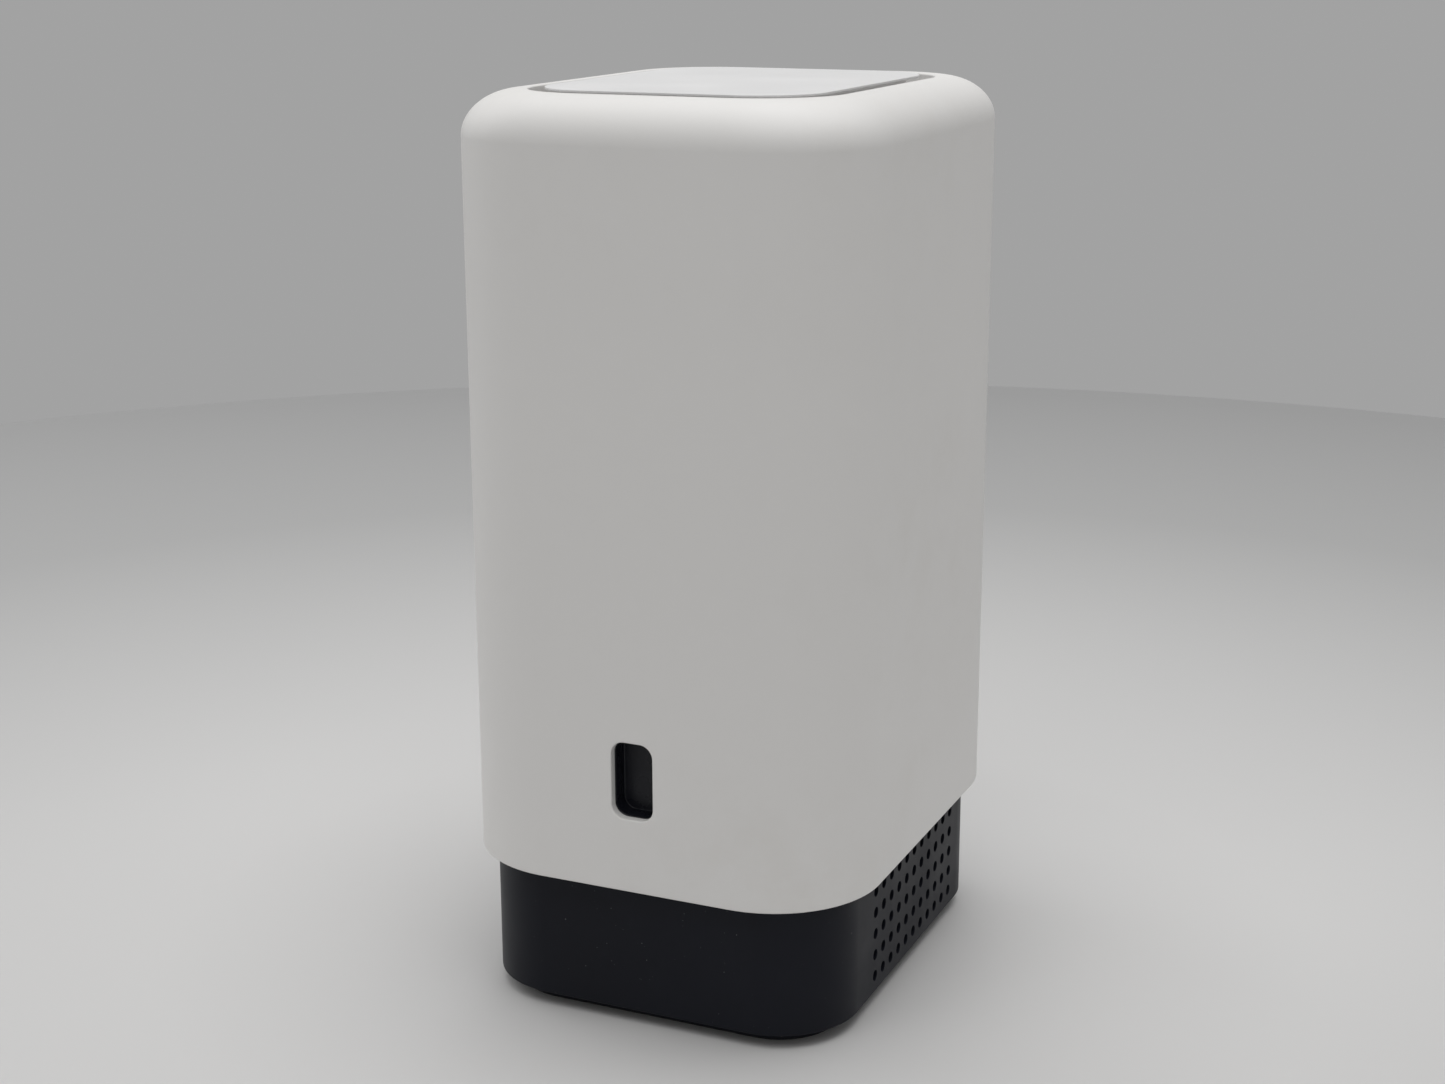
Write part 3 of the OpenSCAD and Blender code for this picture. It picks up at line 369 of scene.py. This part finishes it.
def loft(bm, rings, loop=False):
    """Quads between rings of equal length. loop joins the last ring to the first, else both are capped."""
    rows = [[bm.verts.new(p) for p in ring] for ring in rings]
    pairs = list(zip(rows, rows[1:]))
    if loop:
        pairs.append((rows[-1], rows[0]))
    for low, high in pairs:
        n = len(low)
        for i in range(n):
            j = (i + 1) % n
            bm.faces.new((low[i], low[j], high[j], high[i]))
    if not loop:
        bm.faces.new(list(reversed(rows[0])))
        bm.faces.new(rows[-1])


def level(half_x, half_y, radius, z, steps=24):
    """A rounded rectangle lying at height z."""
    return [(x, y, z) for x, y in rounded_ring(half_x, half_y, radius, steps)]


def standing(half_x, half_z, radius, x, y, z, steps=12):
    """A rounded rectangle standing across Y, centred on x and z."""
    return [(x + a, y, z + b) for a, b in rounded_ring(half_x, half_z, radius, steps)]


def cutter(name, fill):
    """A mesh that fill() draws, used once to cut another and then removed."""
    bm = bmesh.new()
    fill(bm)
    bmesh.ops.recalc_face_normals(bm, faces=bm.faces)
    mesh = bpy.data.meshes.new(name)
    bm.to_mesh(mesh)
    bm.free()
    obj = bpy.data.objects.new(name, mesh)
    bpy.context.scene.collection.objects.link(obj)
    return obj


def cut(obj, *tools):
    """Applies boolean cuts to obj's mesh and removes the tools."""
    for tool in tools:
        step = obj.modifiers.new("cut", "BOOLEAN")
        step.operation = "DIFFERENCE"
        step.solver = "EXACT"
        step.object = tool
    bpy.context.view_layer.update()
    result = bpy.data.meshes.new_from_object(
        obj.evaluated_get(bpy.context.evaluated_depsgraph_get()))
    obj.modifiers.clear()
    old, obj.data = obj.data, result
    bpy.data.meshes.remove(old)
    for tool in tools:
        bpy.data.objects.remove(tool)


# ---- Outer sleeve ----
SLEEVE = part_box("outer_sleeve")
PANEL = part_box("rear_panel")


def sleeve_rings():
    """The sleeve's closed section, from the inner wall's foot round the outside and back."""
    low, high = SLEEVE
    hx, hy, top = high.x, high.y, high.z
    shoulder = top - EDGE_DROP
    well_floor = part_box("top_vent_frame")[1].z
    rings = []

    def add(inset, radius, z):
        rings.append(level(hx - inset, hy - inset, radius, z))

    rim = 0.5 * MM
    add(WALL, SLEEVE_CORNER - WALL, low.z + rim)
    add(WALL - rim, SLEEVE_CORNER - WALL + rim, low.z)
    for i in range(5):
        a = math.radians(22.5 * i)
        inset = rim * (1 - math.sin(a))
        add(inset, SLEEVE_CORNER - inset, low.z + rim * (1 - math.cos(a)))
    steps = 20
    for i in range(steps + 1):
        a = math.radians(90 * i / steps)
        inset = EDGE_REACH * (1 - math.cos(a))
        flare = (CROWN_CORNER - SLEEVE_CORNER + EDGE_REACH) * math.sin(a) ** 2
        add(inset, SLEEVE_CORNER - inset + flare, shoulder + EDGE_DROP * math.sin(a))
    lip = 0.45 * MM
    add(WELL_INSET - lip, WELL_CORNER + lip * 0.5, top)
    for i in range(1, 5):
        a = math.radians(22.5 * i)
        add(WELL_INSET - lip * (1 - math.sin(a)), WELL_CORNER + lip * 0.5 * (1 - math.sin(a)),
            top - lip * (1 - math.cos(a)))
    add(WELL_INSET, WELL_CORNER, well_floor)
    add(WELL_INSET - WALL, WELL_CORNER + WALL, well_floor)
    add(WELL_INSET - WALL, WELL_CORNER + WALL, top - WALL - 0.6 * MM)
    for i in range(6, -1, -1):
        a = math.radians(72 * i / 6)
        inset = (EDGE_REACH - WALL) * (1 - math.cos(a))
        add(WALL + inset, SLEEVE_CORNER - WALL - inset, shoulder + (EDGE_DROP - WALL) * math.sin(a))
    return rings


def make_sleeve():
    bm = bmesh.new()
    loft(bm, sleeve_rings(), loop=True)
    sleeve = make_object("sleeve_shell", bm, MATERIALS["sleeve_white"])
    front, rear = SLEEVE[0].y, SLEEVE[1].y
    mid = (PANEL[0].z + PANEL[1].z) / 2
    half = (PANEL[1].z - PANEL[0].z) / 2 - PANEL_LAP

    def window(b):
        loft(b, [standing(WINDOW[0] / 2, WINDOW[1] / 2, WINDOW_CORNER, 0, y, WINDOW_Z)
                 for y in (front - MM, front + WALL + MM)])

    def opening(b):
        loft(b, [standing(PANEL_WIDTH / 2, half, PANEL_CORNER, 0, y, mid)
                 for y in (rear - WALL - MM, rear + MM)])

    cut(sleeve, cutter("window_tool", window), cutter("opening_tool", opening))
    smooth(sleeve)
    add_bevel(sleeve, 0.35 * MM, 3, 50)
    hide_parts("outer_sleeve")


def make_lid():
    """A plate with a thin rim: its underside steps in, which leaves a dark slit under the rim."""
    low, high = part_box("top_plate")
    hx, hy, top = high.x, high.y, high.z
    under = top - LID_THICKNESS
    bm = bmesh.new()
    rings = []

    def add(inset, z):
        rings.append(level(hx - inset, hy - inset, LID_CORNER - inset, z))

    edge, round_over = 0.08 * MM, 0.18 * MM
    add(LID_STEP + 0.4 * MM, under)
    add(LID_STEP, under + 0.4 * MM)
    add(LID_STEP, top - LID_RIM)
    add(edge, top - LID_RIM)
    add(0, top - LID_RIM + edge)
    for i in range(7):
        a = math.radians(15 * i)
        add(round_over * (1 - math.cos(a)), top - round_over * (1 - math.sin(a)))
    loft(bm, rings)
    # the bosses that stand on the vent frame
    for sx in (-1, 1):
        for sy in (-1, 1):
            place = Matrix.Translation((sx * (hx - LID_POST[0]), sy * (hy - LID_POST[1]),
                                        (low.z + under) / 2))
            bmesh.ops.create_cone(bm, cap_ends=True, segments=32, radius1=POST_RADIUS,
                                  radius2=POST_RADIUS, depth=under - low.z, matrix=place)
    lid = make_object("lid_plate", bm, MATERIALS["lid_white"])
    weighted = lid.modifiers.new("normals", "WEIGHTED_NORMAL")
    weighted.keep_sharp = True
    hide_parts("top_plate")


# ---- Front window ----
def make_window():
    """A dark cup behind the sleeve's cut-out: flange, rounded mouth, wall and flat floor."""
    low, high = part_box("status_window")
    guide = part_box("window_light_guide")
    floor_y = guide[0].y - CUP_WALL
    half = (WINDOW[0] / 2, WINDOW[1] / 2)
    rings = []

    def add(half_x, half_z, radius, y):
        rings.append(standing(half_x, half_z, radius, 0, y, WINDOW_Z))

    def add_offset(reach, y):
        add(half[0] + reach, half[1] + reach, WINDOW_CORNER + reach, y)

    # from the cup's back round the flange, in at the mouth and down to the floor
    mouth, fillet = 0.4 * MM, 0.35 * MM
    add_offset(CUP_WALL, guide[0].y)
    add_offset(CUP_WALL, low.y + CUP_WALL)
    add(high.x, half[1] + FLANGE_REACH, FLANGE_CORNER, low.y + CUP_WALL)
    add(high.x, half[1] + FLANGE_REACH, FLANGE_CORNER, low.y)
    add_offset(mouth, low.y)
    add_offset(0, low.y + mouth)
    for i in range(6):
        a = math.radians(18 * i)
        add_offset(-fillet * (1 - math.cos(a)), floor_y - fillet * (1 - math.sin(a)))
    bm = bmesh.new()
    loft(bm, rings)
    for s in (-1, 1):
        place = Matrix.Translation((s * (half[0] + PEG_REACH), (low.y + CUP_WALL + high.y) / 2,
                                    WINDOW_Z))
        bmesh.ops.create_cone(bm, cap_ends=True, segments=24, radius1=PEG_RADIUS, radius2=PEG_RADIUS,
                              depth=high.y - low.y - CUP_WALL,
                              matrix=place @ Matrix.Rotation(math.pi / 2, 4, "X"))
    cup = make_object("window_cup", bm, MATERIALS["window_black"])
    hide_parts("status_window")


# ---- Base ----
def make_base():
    low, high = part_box("base_housing")
    edge = 0.45 * MM
    hx, hy = high.x, high.y
    rings = []

    def add(inset, z):
        rings.append(level(hx - inset, hy - inset, BASE_CORNER - inset, z))

    add(WALL, high.z - WALL)
    add(WALL, low.z + edge)
    add(WALL - edge, low.z)
    for i in range(5):
        a = math.radians(22.5 * i)
        add(edge * (1 - math.sin(a)), low.z + edge * (1 - math.cos(a)))
    for i in range(5):
        a = math.radians(22.5 * i)
        add(edge * (1 - math.cos(a)), high.z - edge * (1 - math.sin(a)))
    deck = [level(hx - DECK_INSET[0], hy - DECK_INSET[1], BASE_CORNER, z)
            for z in (high.z, high.z - WALL)]
    bm = bmesh.new()
    loft(bm, rings + deck, loop=True)
    base = make_object("base_shell", bm, MATERIALS["base_black"])

    def vents(b):
        turn = Matrix.Rotation(math.pi / 2, 4, "Y")
        for i in range(VENT_COLUMNS):
            for j in range(VENT_ROWS):
                y = VENT_SHIFT + (i - (VENT_COLUMNS - 1) / 2) * VENT_PITCH
                z = low.z + VENT_RISE + j * VENT_PITCH
                bmesh.ops.create_cone(b, cap_ends=True, segments=28, radius1=VENT_RADIUS,
                                      radius2=VENT_RADIUS, depth=2 * hx + 4 * MM,
                                      matrix=Matrix.Translation((0, y, z)) @ turn)

    cut(base, cutter("vent_tool", vents))
    smooth(base)
    add_bevel(base, 0.15 * MM, 2, 50)
    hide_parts("base_housing")


# ---- Rear sockets ----
PORTS = ("lan_port_1", "lan_port_2", "lan_port_3", "lan_port_4", "wan_port")
SHEET = 0.4 * MM


def prism(bm, outline, rear, front):
    """A prism along Y from an outline of (x, z) points."""
    loft(bm, [[(x, y, z) for x, z in outline] for y in (rear, front)])


def box_outline(low, high, inset, radius):
    """The (x, z) outline of a box's cross-section, moved inwards by inset."""
    cx, cz = (low.x + high.x) / 2, (low.z + high.z) / 2
    ring = rounded_ring((high.x - low.x) / 2 - inset, (high.z - low.z) / 2 - inset, radius, 4)
    return [(cx + a, cz + b) for a, b in ring]


def socket_outline(x, z):
    """The mouth of a network socket: the plug's width, then its latch in two steps."""
    steps = ((x + SOCKET[0], SOCKET[1] / 2), (x, SOCKET[1] / 2), (x, LATCH[1] / 2),
             (x - LATCH[0], LATCH[1] / 2), (x - LATCH[0], LATCH_TIP[1] / 2),
             (x - LATCH[0] - LATCH_TIP[0], LATCH_TIP[1] / 2))
    return [(a, z + b) for a, b in steps] + [(a, z - b) for a, b in reversed(steps)]


def make_network_port(name):
    """A folded metal shield round a plastic insert, with two light windows beside the latch."""
    low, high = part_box(name)
    mouth, z = high.y, (low.z + high.z) / 2
    x = (low.x + high.x) / 2 - SOCKET[0] / 2 + SOCKET_SHIFT
    bm = bmesh.new()
    fold = 0.15 * MM
    section = ((0, low.y), (0, mouth - fold), (fold / 3, mouth - fold / 3), (fold, mouth),
               (SHEET, mouth), (SHEET, low.y + SHEET))
    loft(bm, [[(a, y, b) for a, b in box_outline(low, high, inset, 0.8 * MM - inset)]
              for inset, y in section])
    shield = make_object(name + "_shield", bm, MATERIALS["tin"])
    bm = bmesh.new()
    prism(bm, box_outline(low, high, SHEET, 0.4 * MM), low.y + SHEET, mouth - 0.3 * MM)
    insert = make_object(name + "_insert", bm, MATERIALS["port_black"])

    def cavity(b):
        prism(b, socket_outline(x, z), mouth - SOCKET[2], mouth + MM)

    cut(insert, cutter("socket_tool", cavity))
    smooth(insert)
    add_bevel(insert, 0.2 * MM, 2, 50)
    bm = bmesh.new()
    for side in (-1, 1):
        ring = rounded_ring(1.1 * MM, 1.4 * MM, 0.4 * MM, 4)
        centre = (x - 2.2 * MM, z + side * (SOCKET[1] / 2 - 0.7 * MM))
        prism(bm, [(centre[0] + a, centre[1] + b) for a, b in ring], mouth - 0.8 * MM, mouth - 0.2 * MM)
    lights = make_object(name + "_lights", bm, MATERIALS["port_light"], bevel=0.1 * MM)
    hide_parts(name)
    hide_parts(name)


def turned(bm, x, z, profile, steps=40):
    """A solid turned about an axis along Y, from (radius, y) points."""
    rings = []
    for radius, y in profile:
        rings.append([(x + radius * math.cos(2 * math.pi * i / steps), y,
                       z + radius * math.sin(2 * math.pi * i / steps)) for i in range(steps)])
    loft(bm, rings)


def make_dc_inlet():
    low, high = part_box("dc_inlet")
    x, z, mouth = (low.x + high.x) / 2, (low.z + high.z) / 2, high.y
    bm = bmesh.new()
    prism(bm, box_outline(low, high, 0, 0.6 * MM), low.y, mouth)
    body = make_object("dc_body", bm, MATERIALS["port_black"])

    def bore(b):
        lead = 0.35 * MM
        turned(b, x, z, ((DC_BORE, mouth - DC_DEPTH), (DC_BORE, mouth - lead),
                         (DC_BORE + 2 * lead, mouth + lead)))

    cut(body, cutter("bore_tool", bore))
    smooth(body)
    add_bevel(body, 0.15 * MM, 2, 50)
    bm = bmesh.new()
    tip, start = mouth - MM, mouth - DC_DEPTH
    turned(bm, x, z, ((DC_PIN, start), (DC_PIN, tip - 0.6 * MM), (DC_PIN * 0.86, tip - 0.25 * MM),
                      (DC_PIN * 0.55, tip - 0.05 * MM), (DC_PIN * 0.3, tip)))
    pin = make_object("dc_pin", bm, MATERIALS["contact_gold"])
    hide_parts("dc_inlet")
    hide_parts("dc_inlet")


make_sleeve()
make_lid()
make_window()
make_base()
for port in PORTS:
    make_network_port(port)
make_dc_inlet()

# ---- CAD nodes that stay: better materials and softened edges ----
SLOTS = {part["node"]: part["material_slot"] for part in frame["record"]["subparts"]}
SOFT_EDGES = {
    "bottom_plate": 0.4, "foot_ring": 0.3, "rear_panel": 0.3, "top_vent_frame": 0.25,
    "power_button": 0.25, "wps_button": 0.3, "phone_port": 0.2,
}
for name, node in frame["nodes"].items():
    node.data.materials.clear()
    node.data.materials.append(MATERIALS[SLOTS[name]])
    if name in SOFT_EDGES:
        add_bevel(node, SOFT_EDGES[name] * MM)


# ---- Stage: pale floor, soft light ----
def add_floor():
    bm = bmesh.new()
    bmesh.ops.create_circle(bm, cap_ends=True, segments=128, radius=0.8)
    mesh = bpy.data.meshes.new("floor")
    bm.to_mesh(mesh)
    bm.free()
    floor = bpy.data.objects.new("floor", mesh)
    bpy.context.scene.collection.objects.link(floor)
    # The floor's colour darkens from the middle outwards. The light middle is a painted pool of light, and
    # the darker ring and rim are painted shade that fades into the backdrop's tone.
    lit_floor, shaded_floor, rim = (0.665, 0.66, 0.655), (0.44, 0.44, 0.438), (0.39, 0.39, 0.39)
    s = Shader("floor", lit_floor, 0.6)
    length = s.nodes.new("ShaderNodeVectorMath")
    length.operation = "LENGTH"
    s.links.new(s.place, length.inputs[0])
    distance = length.outputs["Value"]
    inner = s.blend(s.spread(distance, 0.16, 0.5), lit_floor, shaded_floor)
    s.paint(s.blend(s.spread(distance, 0.5, 0.78), inner, rim))
    mesh.materials.append(s.material)


def add_area(name, at, towards, size, power, color=(1, 1, 1)):
    data = bpy.data.lights.new(name, "AREA")
    data.shape = "RECTANGLE"
    data.size, data.size_y = size
    data.energy = power
    data.color = color
    light = bpy.data.objects.new(name, data)
    light.location = at
    light.rotation_euler = (Vector(towards) - Vector(at)).to_track_quat("-Z", "Y").to_euler()
    bpy.context.scene.collection.objects.link(light)


def add_world(strength):
    world = bpy.data.worlds.new("world")
    bpy.context.scene.world = world
    world.use_nodes = True
    background = world.node_tree.nodes["Background"]
    background.inputs["Color"].default_value = (1, 1, 1, 1)
    background.inputs["Strength"].default_value = strength


add_floor()
add_world(0.362)
add_area("overhead", (0.1, 0.3, 1.5), (0, 0, 0.1), (1.6, 1.2), 10.9)
add_area("front_top", (0.1, -0.7, 1.5), (0, 0, 0.15), (1.4, 0.9), 5.84)
add_area("left", (-1.3, 0.1, 0.7), (0, 0, 0.15), (1.0, 1.0), 3.29)
bpy.context.scene.view_settings.view_transform = "Standard"
